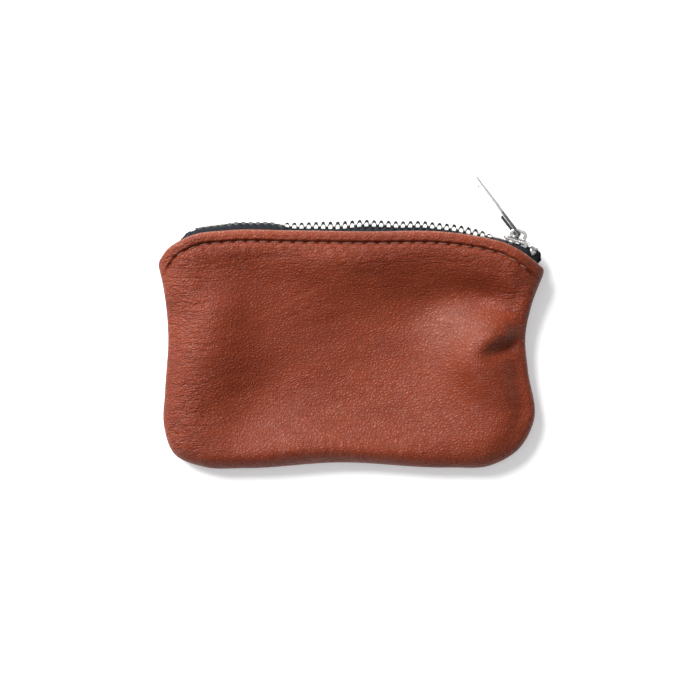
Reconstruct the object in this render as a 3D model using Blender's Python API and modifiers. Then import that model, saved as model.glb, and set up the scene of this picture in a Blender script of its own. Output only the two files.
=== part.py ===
"""Zippered leather pouch lying on its back: two soft leather panels and a metal zip.

Frame in metres: X across the pouch, Y up towards the zip, Z up from the table.
The origin is on the flat back panel, which rests on Z = 0. The zip runs along a circular
arc, so the slider travels by turning about that arc's centre. Lengths below are in mm.
"""
import math

import bmesh
import bpy
from mathutils import Matrix, Vector

MM = 0.001

# --- leather -------------------------------------------------------------------------
LEATHER = 0.9
MOUTH_LEFT = (-57.6, 25.2)
MOUTH_RIGHT = (57.2, 23.2)
MOUTH_EDGE = [
    MOUTH_LEFT, (-54.6, 29.6), (-47.5, 33.8), (-37.0, 35.4), (-18.0, 35.4), (4.0, 35.1),
    (26.0, 35.1), (37.5, 34.0), (47.5, 30.3), (53.9, 25.9), MOUTH_RIGHT,
]
SEAM_EDGE = [
    MOUTH_LEFT, (-56.0, 18.0), (-54.6, 4.0), (-55.6, -13.0), (-55.9, -23.0),
    (-52.8, -31.4), (-44.0, -35.2), (-32.0, -35.6), (-4.0, -33.9), (29.0, -35.4),
    (41.0, -34.8), (49.6, -29.8), (54.0, -21.5), (52.2, -6.4), (51.4, 3.5), (53.0, 12.0),
    MOUTH_RIGHT,
]
SEAM_LOW = 3.6          # height of the side seam at the bottom of the pouch
SEAM_HIGH = 5.4         # and at the ends of the mouth
SEAM_GAP = 0.5          # between the two panels' edges
FRONT_ROUND = 10.0      # how far in from the seam the front panel is rounded
BACK_ROUND = 5.0
FRONT_CROWN_LOW = 9.2   # outer height of the front panel near the bottom
FRONT_CROWN_HIGH = 11.65
BACK_LIFT = 0.75        # the back panel rises this much towards the mouth
LIFT_FROM, LIFT_OVER = 12.0, 14.0
RING_INSETS = (0.0, 0.15, 0.9, 2.3, 4.6, 8.0)
RING_SCALES = (0.72, 0.45, 0.2)

# --- zip -----------------------------------------------------------------------------
SLIDER_CLOSED = (48.3, 30.5)
SLIDER_OPEN = (-41.5, 35.8)
ZIP_RISE = 4.2          # how far the arc stands above the straight line between them
ZIP_MIDDLE = 6.2        # height of the zip's middle plane
SLIDER_REACH = 3.2      # the zip keeps to its arc this far past the slider's two ends
LEFT_SHOULDER, RIGHT_SHOULDER = 9.0, 7.0
SHOULDER_SLOPE = math.radians(46)
LEFT_TAIL, RIGHT_TAIL = 2.2, 1.5

TOOTH_PITCH = 2.15
TOOTH_LENGTH = 0.85     # along the zip
TOOTH_HEIGHT = 1.8
TOOTH_TIP = 0.85        # past the middle plane
TOOTH_ROOT = 2.1
BEAD_RADIUS, BEAD_AT = 0.4, 1.75
ROW_OVERRUN = 4.1       # the beads run this far past the slider's two places
LAST_TOOTH = 0.4
TAPE = 0.4
TAPE_INNER, TAPE_OUTER = 2.5, 3.5
TAPE_DEPTH, TAPE_END_DEPTH, TAPE_FADE = 9.5, 1.2, 18.0
STOP_LENGTH = 2.1
STOP_GAP = 0.35

# --- mouth fold ----------------------------------------------------------------------
FOLD_LEFT, FOLD_RIGHT = (-44.5, 35.0), (56.5, 24.0)
FOLD_GAP = 0.3
LIP_END = 96.0          # how far along the fold line the lip reaches

# --- slider and pull -----------------------------------------------------------------
SLIDER_TILT = math.radians(3)
PLATE, PLATE_INNER = 0.8, 1.25
PLATE_OUTLINE = [
    (-4.0, 2.0), (-3.5, 2.5), (0.8, 2.6), (2.4, 3.05), (3.5, 2.9), (4.0, 2.2),
]
FLANGE_SLOT = 0.5
BRIDGE_WIDTH, BRIDGE_WALL = 1.5, 0.75
BRIDGE_INSIDE, BRIDGE_OPENING = 1.6, 2.0
PULL_HEADING = math.radians(127)
PULL_DIP, PULL_TWIST = math.radians(9), math.radians(14)
PULL_LENGTH, PULL_THICK = 22.4, 1.0
PULL_NEAR, PULL_FAR = 1.8, 2.35
PULL_BAR = 0.45
WINDOW_END, WINDOW_HALF = 7.6, 1.3
HOLE_AT, HOLE_RADIUS = 18.6, 0.9

# --- thread --------------------------------------------------------------------------
THREAD_RADIUS = 0.2
THREAD_CLEAR = 0.5      # thread centre line above the leather
TOPSTITCH_INSET = 3.5
SEAM_THREAD_INSET = 1.7

LEATHER_BROWN = (0.28, 0.068, 0.034, 1.0)
TAPE_NAVY = (0.012, 0.014, 0.022, 1.0)
NICKEL = (0.72, 0.71, 0.69, 1.0)
THREAD_BROWN = (0.13, 0.04, 0.022, 1.0)


# --- scene helpers -------------------------------------------------------------------
def clear_scene():
    for obj in list(bpy.data.objects):
        bpy.data.objects.remove(obj, do_unlink=True)


def new_collection(name):
    collection = bpy.data.collections.new(name)
    bpy.context.scene.collection.children.link(collection)
    return collection


def material(name, colour, roughness, metallic=0.0):
    made = bpy.data.materials.new(name)
    made.use_nodes = True
    shader = made.node_tree.nodes["Principled BSDF"]
    shader.inputs["Base Color"].default_value = colour
    shader.inputs["Roughness"].default_value = roughness
    shader.inputs["Metallic"].default_value = metallic
    return made


def add_object(name, data, collection, finish=None):
    obj = bpy.data.objects.new(name, data)
    collection.objects.link(obj)
    if finish:
        data.materials.append(finish)
    return obj


def add_empty(name, matrix, collection):
    empty = bpy.data.objects.new(name, None)
    collection.objects.link(empty)
    empty.matrix_world = matrix
    return empty


def hang(obj, empty, matrix):
    """Parent obj to an empty that stands at matrix, without moving obj."""
    obj.parent = empty
    obj.matrix_parent_inverse = matrix.inverted()


def mesh_from(bm, name):
    mesh = bpy.data.meshes.new(name)
    bm.to_mesh(mesh)
    bm.free()
    return mesh


def solidify(obj, thickness, offset):
    shell = obj.modifiers.new("thickness", "SOLIDIFY")
    shell.thickness = thickness * MM
    shell.offset = offset
    shell.use_even_offset = True


def box(name, low, high, collection, finish=None):
    """An axis-aligned box between two corners given in mm."""
    low, high = Vector(low) * MM, Vector(high) * MM
    bm = bmesh.new()
    bmesh.ops.create_cube(bm, size=1.0)
    bmesh.ops.scale(bm, vec=high - low, verts=bm.verts)
    bmesh.ops.translate(bm, vec=(high + low) / 2, verts=bm.verts)
    return add_object(name, mesh_from(bm, name), collection, finish)


def as_tool(obj):
    obj.hide_render = True
    obj.display_type = "WIRE"
    return obj


def boolean(obj, operation, tool):
    cut = obj.modifiers.new(operation.lower(), "BOOLEAN")
    cut.operation = operation
    cut.solver = "EXACT"
    cut.object = tool


def flat_piece(name, loops, thickness, collection, finish=None):
    """A flat plate in XY, centred on Z = 0: the first loop is its outline, the others holes."""
    curve = bpy.data.curves.new(name, "CURVE")
    curve.dimensions = "2D"
    curve.fill_mode = "BOTH"
    curve.extrude = thickness / 2 * MM
    for loop in loops:
        spline = curve.splines.new("POLY")
        spline.points.add(len(loop) - 1)
        for point, (x, y) in zip(spline.points, loop):
            point.co = (x * MM, y * MM, 0.0, 1.0)
        spline.use_cyclic_u = True
    sketch = bpy.data.objects.new(name + "_sketch", curve)
    collection.objects.link(sketch)
    bpy.context.view_layer.update()
    evaluated = sketch.evaluated_get(bpy.context.evaluated_depsgraph_get())
    mesh = bpy.data.meshes.new_from_object(evaluated)
    bpy.data.objects.remove(sketch, do_unlink=True)
    bm = bmesh.new()
    bm.from_mesh(mesh)
    bmesh.ops.remove_doubles(bm, verts=bm.verts, dist=0.005 * MM)
    bmesh.ops.recalc_face_normals(bm, faces=bm.faces)
    bm.to_mesh(mesh)
    bm.free()
    mesh.materials.clear()
    return add_object(name, mesh, collection, finish)


def thread(name, points, collection, finish):
    """A thread as a thin tube through points given in mm."""
    curve = bpy.data.curves.new(name, "CURVE")
    curve.dimensions = "3D"
    curve.bevel_depth = THREAD_RADIUS * MM
    curve.bevel_resolution = 1
    curve.use_fill_caps = True
    spline = curve.splines.new("POLY")
    spline.points.add(len(points) - 1)
    for place, point in zip(spline.points, points):
        place.co = (*(Vector(point) * MM), 1.0)
    return add_object(name, curve, collection, finish)


# --- plane curves --------------------------------------------------------------------
def ease(t):
    t = min(max(t, 0.0), 1.0)
    return t * t * (3 - 2 * t)


def smooth_path(knots, step=1.0):
    """Points about step apart along a smooth curve through the knots."""
    knots = [Vector(knot) for knot in knots]
    gaps = [(b - a).length for a, b in zip(knots, knots[1:])]
    runs = [(b - a) / gap for a, b, gap in zip(knots, knots[1:], gaps)]
    slopes = [runs[0]]
    for before, after, near, far in zip(runs, runs[1:], gaps, gaps[1:]):
        slopes.append((before * far + after * near) / (near + far))
    slopes.append(runs[-1])
    path = [knots[0]]
    for i, gap in enumerate(gaps):
        count = max(2, round(gap / step))
        for j in range(1, count + 1):
            t = j / count
            near = (2 * t**3 - 3 * t**2 + 1) * knots[i] + (t**3 - 2 * t**2 + t) * gap * slopes[i]
            far = (3 * t**2 - 2 * t**3) * knots[i + 1] + (t**3 - t**2) * gap * slopes[i + 1]
            path.append(near + far)
    return path


def spread(path, count):
    """count + 1 points evenly spread along a path, its two ends included."""
    runs = [0.0]
    for a, b in zip(path, path[1:]):
        runs.append(runs[-1] + (b - a).length)
    points, i = [], 0
    for k in range(count + 1):
        want = runs[-1] * k / count
        while i < len(path) - 2 and runs[i + 1] < want:
            i += 1
        share = (want - runs[i]) / (runs[i + 1] - runs[i])
        points.append(path[i].lerp(path[i + 1], min(share, 1.0)))
    return points


def inset(path, distance):
    """A path shifted to its left-hand side."""
    shifted = []
    for i, point in enumerate(path):
        along = (path[min(i + 1, len(path) - 1)] - path[max(i - 1, 0)]).normalized()
        shifted.append(point + Vector((-along.y, along.x)) * distance)
    return shifted


MOUTH_PATH = smooth_path(MOUTH_EDGE)
SEAM_PATH = smooth_path(SEAM_EDGE)


def seam_distance(point):
    """How far a point of the plan is from the side and bottom seam."""
    nearest = 1000.0
    for a, b in zip(SEAM_PATH, SEAM_PATH[1:]):
        run = b - a
        share = min(max((point - a).dot(run) / run.length_squared, 0.0), 1.0)
        nearest = min(nearest, (a + run * share - point).length)
    return nearest


def rounding(distance, radius):
    return math.sqrt(1 - (1 - min(distance / radius, 1.0)) ** 2)


def seam_height(point):
    return SEAM_LOW + (SEAM_HIGH - SEAM_LOW) * ease((point.y + 30) / 55)


def front_height(point):
    """Outer surface of the front panel."""
    low = seam_height(point) + SEAM_GAP / 2
    crown = FRONT_CROWN_LOW + (FRONT_CROWN_HIGH - FRONT_CROWN_LOW) * ease((point.y + 30) / 54)
    return low + (crown - low) * rounding(seam_distance(point), FRONT_ROUND)


def back_height(point):
    """Outer surface of the back panel, which is flat on the table except near the mouth."""
    high = seam_height(point) - SEAM_GAP / 2
    rest = BACK_LIFT * ease((point.y - LIFT_FROM) / LIFT_OVER)
    return high + (rest - high) * rounding(seam_distance(point), BACK_ROUND)


# --- the zip's arc -------------------------------------------------------------------
CHORD = Vector(SLIDER_CLOSED) - Vector(SLIDER_OPEN)
ZIP_RADIUS = (CHORD.length_squared / 4 + ZIP_RISE**2) / (2 * ZIP_RISE)
ZIP_TURN = 2 * math.asin(CHORD.length / 2 / ZIP_RADIUS)
OPEN_HEADING = math.atan2(CHORD.y, CHORD.x) + ZIP_TURN / 2
ZIP_CENTRE = Vector(SLIDER_OPEN) + Vector(
    (math.sin(OPEN_HEADING), -math.cos(OPEN_HEADING))
) * ZIP_RADIUS
ZIP_LENGTH = ZIP_RADIUS * ZIP_TURN     # from the slider's open place to its closed place


def follow(start, heading, turn_rate, distance):
    """Where a walk along an arc ends, and its heading there."""
    if abs(turn_rate) < 1e-9:
        return start + Vector((math.cos(heading), math.sin(heading))) * distance, heading
    ahead = heading + turn_rate * distance
    step = Vector((math.sin(ahead) - math.sin(heading), math.cos(heading) - math.cos(ahead)))
    return start + step / turn_rate, ahead


def zip_at(s):
    """Point and heading on the zip's middle line, s mm from the slider's open place."""
    low, high = -SLIDER_REACH, ZIP_LENGTH + SLIDER_REACH
    place = follow(Vector(SLIDER_OPEN), OPEN_HEADING, -1 / ZIP_RADIUS, min(max(s, low), high))
    if low <= s <= high:
        return place
    radius = LEFT_SHOULDER if s < low else RIGHT_SHOULDER
    past = s - low if s < low else s - high
    bend = max(-1.0, min(1.0, past / (radius * (SHOULDER_SLOPE - abs(place[1])))))
    bend *= radius * (SHOULDER_SLOPE - abs(place[1]))
    return follow(*follow(*place, -1 / radius, bend), 0.0, past - bend)


def shoulder_length(radius, s):
    return SLIDER_REACH + radius * (SHOULDER_SLOPE - abs(zip_at(s)[1]))


ZIP_START = -shoulder_length(LEFT_SHOULDER, 0.0) - LEFT_TAIL
ZIP_END = ZIP_LENGTH + shoulder_length(RIGHT_SHOULDER, ZIP_LENGTH) + RIGHT_TAIL


def bend_along_zip(mesh):
    """Map a straight strip, drawn as (along, out of the mouth, across), onto the zip."""
    for vertex in mesh.vertices:
        s, out, across = vertex.co / MM
        point, heading = zip_at(s)
        point = point + Vector((-math.sin(heading), math.cos(heading))) * out
        vertex.co = Vector((point.x, point.y, ZIP_MIDDLE + across)) * MM
    mesh.update()


# --- leather panels ------------------------------------------------------------------
def panel_rings():
    """The plan of a panel as closed rings, from its outline towards its middle."""
    outline = spread(SEAM_PATH, 40)[:-1] + spread(list(reversed(MOUTH_PATH)), 26)[:-1]
    rings = [[point - point.normalized() * depth for point in outline] for depth in RING_INSETS]
    rings += [[point * scale for point in rings[-1]] for scale in RING_SCALES]
    return rings


def panel_mesh(name, height, outwards):
    """A domed sheet over the plan, whose faces look outwards (+1 up, -1 down)."""
    bm = bmesh.new()
    rings = [
        [bm.verts.new(Vector((p.x, p.y, height(p))) * MM) for p in ring]
        for ring in panel_rings()
    ]
    middle = bm.verts.new(Vector((0.0, 0.0, height(Vector((0.0, 0.0))))) * MM)
    count = len(rings[0])
    for outer, inner in zip(rings, rings[1:]):
        for i in range(count):
            j = (i + 1) % count
            bm.faces.new((outer[i], outer[j], inner[j], inner[i]))
    for i in range(count):
        bm.faces.new((rings[-1][i], rings[-1][(i + 1) % count], middle))
    if outwards < 0:
        bmesh.ops.reverse_faces(bm, faces=bm.faces)
    mesh = mesh_from(bm, name)
    mesh.shade_smooth()
    return mesh


def fold_cutter(name, grow, collection):
    """A box over the part of the front panel that folds up when the mouth opens."""
    cutter = box(name, (-30.0, -grow, -10.0), (LIP_END + grow, 30.0, 30.0), collection)
    run = Vector(FOLD_RIGHT) - Vector(FOLD_LEFT)
    cutter.rotation_euler.z = math.atan2(run.y, run.x)
    cutter.location = (FOLD_LEFT[0] * MM, FOLD_LEFT[1] * MM, 0.0)
    return as_tool(cutter)


def make_panels(parts, tools, finish):
    front = add_object("front_panel", panel_mesh("front", front_height, 1), parts, finish)
    lip = add_object("front_lip", front.data, parts)
    back = add_object("back_panel", panel_mesh("back", back_height, -1), parts, finish)
    for panel in (front, lip, back):
        solidify(panel, LEATHER, -1.0)
    boolean(front, "DIFFERENCE", fold_cutter("lip_outline", FOLD_GAP / 2, tools))
    boolean(lip, "INTERSECT", fold_cutter("lip_inline", -FOLD_GAP / 2, tools))
    return lip


# --- zip pieces ----------------------------------------------------------------------
def tape_depth(s):
    """How far down into the pouch the tape reaches; its ends are tucked short."""
    from_end = min(s - ZIP_START, ZIP_END - s)
    return TAPE_END_DEPTH + TAPE_DEPTH * ease((from_end - 1.0) / TAPE_FADE)


def make_tape(name, side, parts, finish):
    """Woven tape: out from the teeth, round a bend and down inside the hem."""
    across = [(0.0, TAPE_INNER), (0.0, 3.0), (0.3, 3.4), (1.0, TAPE_OUTER)]
    bm = bmesh.new()
    rows, columns = 38, len(across) + 2
    bmesh.ops.create_grid(bm, x_segments=rows, y_segments=columns - 1, size=0.5)
    for vertex in bm.verts:
        s = ZIP_START + (ZIP_END - ZIP_START) * (vertex.co.x + 0.5)
        column = round((vertex.co.y + 0.5) * (columns - 1))
        if column < len(across):
            drop, half = across[column]
        else:
            share = (column - len(across) + 1) / (columns - len(across))
            drop, half = 1.0 + (tape_depth(s) - 1.0) * share, TAPE_OUTER
        point, _ = zip_at(s)
        vertex.co = Vector((point.x, point.y - drop, ZIP_MIDDLE + side * half)) * MM
    tape = add_object(name, mesh_from(bm, name), parts, finish)
    solidify(tape, TAPE, 0.0)
    return tape


def make_tooth_row(name, side, shift, parts, tools, finish):
    """One row of teeth on the bead that runs along the edge of its tape."""
    start, end = -ROW_OVERRUN, ZIP_LENGTH + ROW_OVERRUN
    segments = 44
    bm = bmesh.new()
    bmesh.ops.create_cone(
        bm, cap_ends=True, segments=6, radius1=BEAD_RADIUS * MM, radius2=BEAD_RADIUS * MM,
        depth=(end - start) * MM, matrix=Matrix.Rotation(math.radians(90), 4, "Y"),
    )
    for k in range(1, segments):
        bmesh.ops.bisect_plane(
            bm, geom=bm.verts[:] + bm.edges[:] + bm.faces[:],
            plane_co=(((end - start) * (k / segments - 0.5)) * MM, 0.0, 0.0),
            plane_no=(1.0, 0.0, 0.0),
        )
    offset = Vector(((start + end) / 2, 0.0, side * BEAD_AT)) * MM
    bmesh.ops.translate(bm, vec=offset, verts=bm.verts)
    row = add_object(name, mesh_from(bm, name), parts, finish)

    bm = bmesh.new()
    s = start + 0.6 + shift * TOOTH_PITCH
    while s < ZIP_LENGTH + LAST_TOOTH:
        size = Vector((TOOTH_LENGTH, TOOTH_HEIGHT, TOOTH_ROOT + TOOTH_TIP)) * MM
        centre = Vector((s, 0.0, side * (TOOTH_ROOT - TOOTH_TIP) / 2)) * MM
        bmesh.ops.create_cube(bm, size=1.0, matrix=Matrix.LocRotScale(centre, None, size))
        s += TOOTH_PITCH
    teeth = as_tool(add_object(name + "_blocks", mesh_from(bm, name + "_blocks"), tools))
    boolean(row, "UNION", teeth)
    bpy.context.view_layer.update()
    evaluated = row.evaluated_get(bpy.context.evaluated_depsgraph_get())
    joined = bpy.data.meshes.new_from_object(evaluated)
    row.modifiers.clear()
    row.data = joined
    bend_along_zip(joined)
    return row


def make_stop(name, s, low, high, parts, finish):
    """A small metal block crimped on the zip, from low to high across it."""
    half = STOP_LENGTH / 2
    stop = box(name, (s - half, -1.0, low), (s + half, 1.0, high), parts, finish)
    bend_along_zip(stop.data)
    return stop


# --- slider and pull -----------------------------------------------------------------
def make_slider(parts, tools, finish):
    """Two plates joined by a wedge, with side flanges and a bridge for the pull.

    Its own axes are X towards the closed end, Y out of the mouth and Z across the zip.
    """
    upper = PLATE_INNER + PLATE / 2
    outline = PLATE_OUTLINE + [(x, -z) for x, z in reversed(PLATE_OUTLINE)]
    lying = Matrix.Rotation(math.radians(-90), 4, "X")

    def plate(name, level, collection):
        made = flat_piece(name, [outline], PLATE, collection)
        made.data.transform(Matrix.Translation((0.0, level * MM, 0.0)) @ lying)
        return made

    slider = plate("slider_body", upper, parts)
    slider.data.materials.append(finish)
    additions = [plate("slider_under_plate", -upper, tools)]
    wedge = [(0.9, 0.0), (2.2, 0.85), (3.4, 0.75), (3.7, 0.0), (3.4, -0.75), (2.2, -0.85)]
    post = flat_piece("slider_wedge", [wedge], 2 * PLATE_INNER + 0.4, tools)
    post.data.transform(lying)
    additions.append(post)
    for side in (-1, 1):
        for level in (-1, 1):
            near, far = sorted((level * FLANGE_SLOT, level * (PLATE_INNER + 0.2)))
            inner, outer = sorted((side * 2.48, side * 2.98))
            additions.append(box(
                f"slider_flange_{side}_{level}", (1.6, near, inner), (3.2, far, outer), tools,
            ))
    outer, inner = BRIDGE_INSIDE + BRIDGE_WALL, BRIDGE_INSIDE
    foot = PLATE_INNER + PLATE - 0.3
    top = PLATE_INNER + PLATE + BRIDGE_OPENING
    arch = [(-outer, foot)]
    arch += bend_points(-outer, top + BRIDGE_WALL, 1.1, 1)
    arch += bend_points(outer, top + BRIDGE_WALL, 1.1, -1)
    arch += [(outer, foot), (inner, foot)]
    arch += reversed(bend_points(inner, top, 0.5, -1))
    arch += reversed(bend_points(-inner, top, 0.5, 1))
    arch += [(-inner, foot)]
    additions.append(flat_piece("slider_bridge", [arch], BRIDGE_WIDTH, tools))
    for addition in additions:
        boolean(slider, "UNION", as_tool(addition))
    return slider, additions


def bend_points(x, top, radius, turn):
    """A rounded corner: turn is 1 at the left end of an arch and -1 at its right end."""
    points = []
    for k in range(5):
        angle = math.radians(90 * k / 4)
        across, up = 1 - math.cos(angle), math.sin(angle)
        points.append((x + turn * radius * across, top - radius + radius * up))
    return points if turn > 0 else points[::-1]


def circle(x, y, radius, steps):
    turns = [2 * math.pi * k / steps for k in range(steps)]
    return [(x + radius * math.cos(turn), y + radius * math.sin(turn)) for turn in turns]


def make_pull(parts, finish):
    """A flat tab with a window whose end bar passes through the slider's bridge.

    Its own axes are X along the tab from the bar, Y across it and Z through it.
    """
    tip = PULL_LENGTH - 1.6
    outline = [(-PULL_BAR, -PULL_NEAR + 0.4), (-PULL_BAR + 0.3, -PULL_NEAR), (8.5, -PULL_NEAR)]
    outline += [(11.0, -PULL_FAR), (tip, -PULL_FAR)]
    outline += [
        (tip + 1.6 * math.cos(turn), PULL_FAR * math.sin(turn))
        for turn in (math.radians(a) for a in range(-60, 61, 20))
    ]
    outline += [(x, -y) for x, y in reversed(outline[:5])]
    window = [
        (PULL_BAR, -WINDOW_HALF), (WINDOW_END - 0.6, -WINDOW_HALF), (WINDOW_END, -0.6),
        (WINDOW_END, 0.6), (WINDOW_END - 0.6, WINDOW_HALF), (PULL_BAR, WINDOW_HALF),
    ]
    loops = [outline, window, circle(HOLE_AT, 0.0, HOLE_RADIUS, 12)]
    return flat_piece("pull_tab", loops, PULL_THICK, parts, finish)


def slider_frame():
    point, heading = zip_at(ZIP_LENGTH)
    place = Matrix.Translation(Vector((point.x, point.y, ZIP_MIDDLE)) * MM)
    return place @ Matrix.Rotation(heading - SLIDER_TILT, 4, "Z")


def pull_frame():
    """The pull's own axes: X along the tab, Y along its bar, Z through it."""
    bar_height = PLATE_INNER + PLATE + BRIDGE_OPENING / 2
    hinge = slider_frame() @ Vector((0.0, bar_height * MM, 0.0))
    turn = Matrix.Rotation(PULL_HEADING, 4, "Z") @ Matrix.Rotation(PULL_DIP, 4, "Y")
    return Matrix.Translation(hinge) @ turn @ Matrix.Rotation(
        math.radians(90) + PULL_TWIST, 4, "X"
    )


# --- thread --------------------------------------------------------------------------
def topstitch_points(height, side):
    """The line of stitches below the mouth's edge, just off the leather's surface."""
    line = spread(inset(MOUTH_PATH, -TOPSTITCH_INSET), 44)[3:-3]
    return [(p.x, p.y, height(p) + side * THREAD_CLEAR) for p in line]


def seam_points():
    """The inside seam that joins the panels, just within their edges."""
    line = spread(inset(SEAM_PATH, SEAM_THREAD_INSET), 60)[2:-2]
    return [(p.x, p.y, seam_height(p)) for p in line]


def main():
    clear_scene()
    parts, tools = new_collection("zippered_pouch"), new_collection("cutters")
    leather = material("brown_leather", LEATHER_BROWN, 0.5)
    cloth = material("navy_tape", TAPE_NAVY, 0.9)
    tooth_metal = material("nickel_teeth", NICKEL, 0.3, 1.0)
    slider_metal = material("nickel_slider", NICKEL, 0.22, 1.0)
    pull_metal = material("nickel_pull", NICKEL, 0.2, 1.0)
    stop_metal = material("nickel_stop", NICKEL, 0.35, 1.0)
    yarn = material("brown_thread", THREAD_BROWN, 0.8)

    lip = make_panels(parts, tools, leather)
    front_tape = make_tape("front_zipper_tape", 1, parts, cloth)
    make_tape("back_zipper_tape", -1, parts, cloth)
    front_row = make_tooth_row("front_tooth_row", 1, 0.0, parts, tools, tooth_metal)
    make_tooth_row("back_tooth_row", -1, 0.5, parts, tools, tooth_metal)
    beyond = ROW_OVERRUN + STOP_GAP + STOP_LENGTH / 2
    closed_end = ZIP_LENGTH + beyond
    front_stop = make_stop("front_top_stop", closed_end, 1.2, 2.2, parts, stop_metal)
    make_stop("back_top_stop", closed_end, -2.2, -1.2, parts, stop_metal)
    make_stop("bottom_stop", -beyond, -2.1, 2.1, parts, stop_metal)
    front_thread = thread("front_topstitch", topstitch_points(front_height, 1), parts, yarn)
    thread("back_topstitch", topstitch_points(back_height, -1), parts, yarn)
    thread("perimeter_seam", seam_points(), parts, yarn)

    hinge = Matrix.Translation(Vector((*FOLD_LEFT, FRONT_CROWN_HIGH)) * MM)
    mouth = add_empty("mouth_fold", hinge, parts)
    for piece in (lip, front_tape, front_row, front_stop, front_thread):
        hang(piece, mouth, hinge)

    centre = Matrix.Translation(Vector((*ZIP_CENTRE, ZIP_MIDDLE)) * MM)
    track = add_empty("slider_track", centre, parts)
    slider, additions = make_slider(parts, tools, slider_metal)
    for piece in [slider] + additions:
        piece.matrix_world = slider_frame()
        hang(piece, track, centre)
    pull = make_pull(parts, pull_metal)
    pull.matrix_world = pull_frame()
    hang(pull, track, centre)


main()
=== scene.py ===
"""Zippered leather pouch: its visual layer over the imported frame.

Lengths in this file are in millimetres unless a name or comment says otherwise. The pouch
lies on its back: X runs across it, Y up towards the zip and Z up from the table.
"""
import math

import bmesh
import bpy
import numpy as np
from mathutils import Matrix, Vector


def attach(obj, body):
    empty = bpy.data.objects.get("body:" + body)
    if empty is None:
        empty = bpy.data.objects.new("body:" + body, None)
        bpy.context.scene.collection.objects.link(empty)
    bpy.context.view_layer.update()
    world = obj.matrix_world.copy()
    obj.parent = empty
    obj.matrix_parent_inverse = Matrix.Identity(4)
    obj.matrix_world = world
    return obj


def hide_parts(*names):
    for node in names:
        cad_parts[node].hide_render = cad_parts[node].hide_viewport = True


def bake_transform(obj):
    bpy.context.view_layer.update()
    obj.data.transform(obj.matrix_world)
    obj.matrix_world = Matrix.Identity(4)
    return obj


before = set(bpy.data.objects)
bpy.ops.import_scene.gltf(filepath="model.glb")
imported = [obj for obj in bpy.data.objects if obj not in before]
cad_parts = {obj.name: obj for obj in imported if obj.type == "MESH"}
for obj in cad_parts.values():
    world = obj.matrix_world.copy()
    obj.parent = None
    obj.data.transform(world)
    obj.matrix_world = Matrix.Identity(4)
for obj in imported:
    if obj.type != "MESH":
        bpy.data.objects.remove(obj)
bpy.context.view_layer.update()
MM = 0.001

# --- plan of the pouch, as in the frame ---
MOUTH_LEFT = (-57.6, 25.2)
MOUTH_RIGHT = (57.2, 23.2)
MOUTH_EDGE = [
    MOUTH_LEFT, (-54.6, 29.6), (-47.5, 33.8), (-37.0, 35.4), (-18.0, 35.4), (4.0, 35.1),
    (26.0, 35.1), (37.5, 34.0), (47.5, 30.3), (53.9, 25.9), MOUTH_RIGHT,
]
SEAM_EDGE = [
    MOUTH_LEFT, (-56.0, 18.0), (-54.6, 4.0), (-55.6, -13.0), (-55.9, -23.0),
    (-52.8, -31.4), (-44.0, -35.2), (-32.0, -35.6), (-4.0, -33.9), (29.0, -35.4),
    (41.0, -34.8), (49.6, -29.8), (54.0, -21.5), (52.2, -6.4), (51.4, 3.5), (53.0, 12.0),
    MOUTH_RIGHT,
]
LIP_SLACK = [           # the front lip lies this far short of the plan: across, distance
    (-58, 0.0), (-50, 0.45), (-38, 0.6), (25, 0.6), (36, 1.0), (41, 0.75), (46, 0.25), (52, 0),
]
SEAM_LOW, SEAM_HIGH = 3.6, 5.4          # the side seam over the table: bottom, mouth
SEAM_FROM, SEAM_OVER = -30.0, 55.0      # it climbs from this Y, over this length
FRONT_ROUND, BACK_ROUND = 10.0, 5.0     # how far in each panel rounds over to its seam
CROWN_HIGH = 11.65
CROWN = [               # plain height of the front, from its bottom to its mouth
    (-40, 9.0), (14, 9.2), (30, 11.5), (34, CROWN_HIGH), (60, CROWN_HIGH),
]
LIP_LEVEL = 35.2        # Y of the front lip's middle, where CROWN is measured from the lip
BACK_LIFT, LIFT_FROM, LIFT_OVER = 0.75, 12.0, 14.0      # the underside rises to the mouth
LEATHER = 0.9
EDGE_LIFT = 0.47        # from the side seam's middle to the middle of either panel's edge
HEM_GROWTH = 0.8        # the hem is this much thicker than one layer
HEM_END = 4.5           # the turned-under leather ends this far inside the mouth's edge
STITCH_LINE = 3.55      # the topstitch runs this far inside the mouth's edge
STITCH_PITCH = 3.53
STITCH_START = 1.6      # along the mouth, from its left end

# --- zip, as in the frame ---
SLIDER_CLOSED = (48.3, 30.5)
SLIDER_OPEN = (-41.5, 35.8)
ZIP_RISE = 4.2          # how far its arc bows above the line between them
ZIP_MIDDLE = 6.2        # its height over the table
SLIDER_REACH = 3.2      # the arc runs on this far past both of the slider's places
LEFT_SHOULDER, RIGHT_SHOULDER = 9.0, 7.0        # radii of the bends into the corners
SHOULDER_SLOPE = math.radians(46)
LEFT_TAIL, RIGHT_TAIL = 2.2, 1.5                # straight ends after the bends
TAPE_START, TAPE_END = 4.0, 0.9     # the tapes run on this far past the zip, into the corners
TAPE_HALF, TAPE_THICK = 3.25, 0.17  # from the zip's middle to the hanging cloth, half its thickness
TAPE_TURN = 0.9         # the hanging cloth starts this far below the chain
TOOTH_PITCH = 2.15
ROW_OVERRUN, ROW_INSET = 4.1, 0.6   # a row starts at their difference, before the open slider
LAST_TOOTH = 0.4
STOP_LENGTH, STOP_GAP = 2.1, 0.35
BEND_LEFT = (-37.5, 36.3)   # the lip turns above a line from here, right of the open slider,
BEND_RIGHT = (56.5, 24.0)   # to here at the closed end

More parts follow.
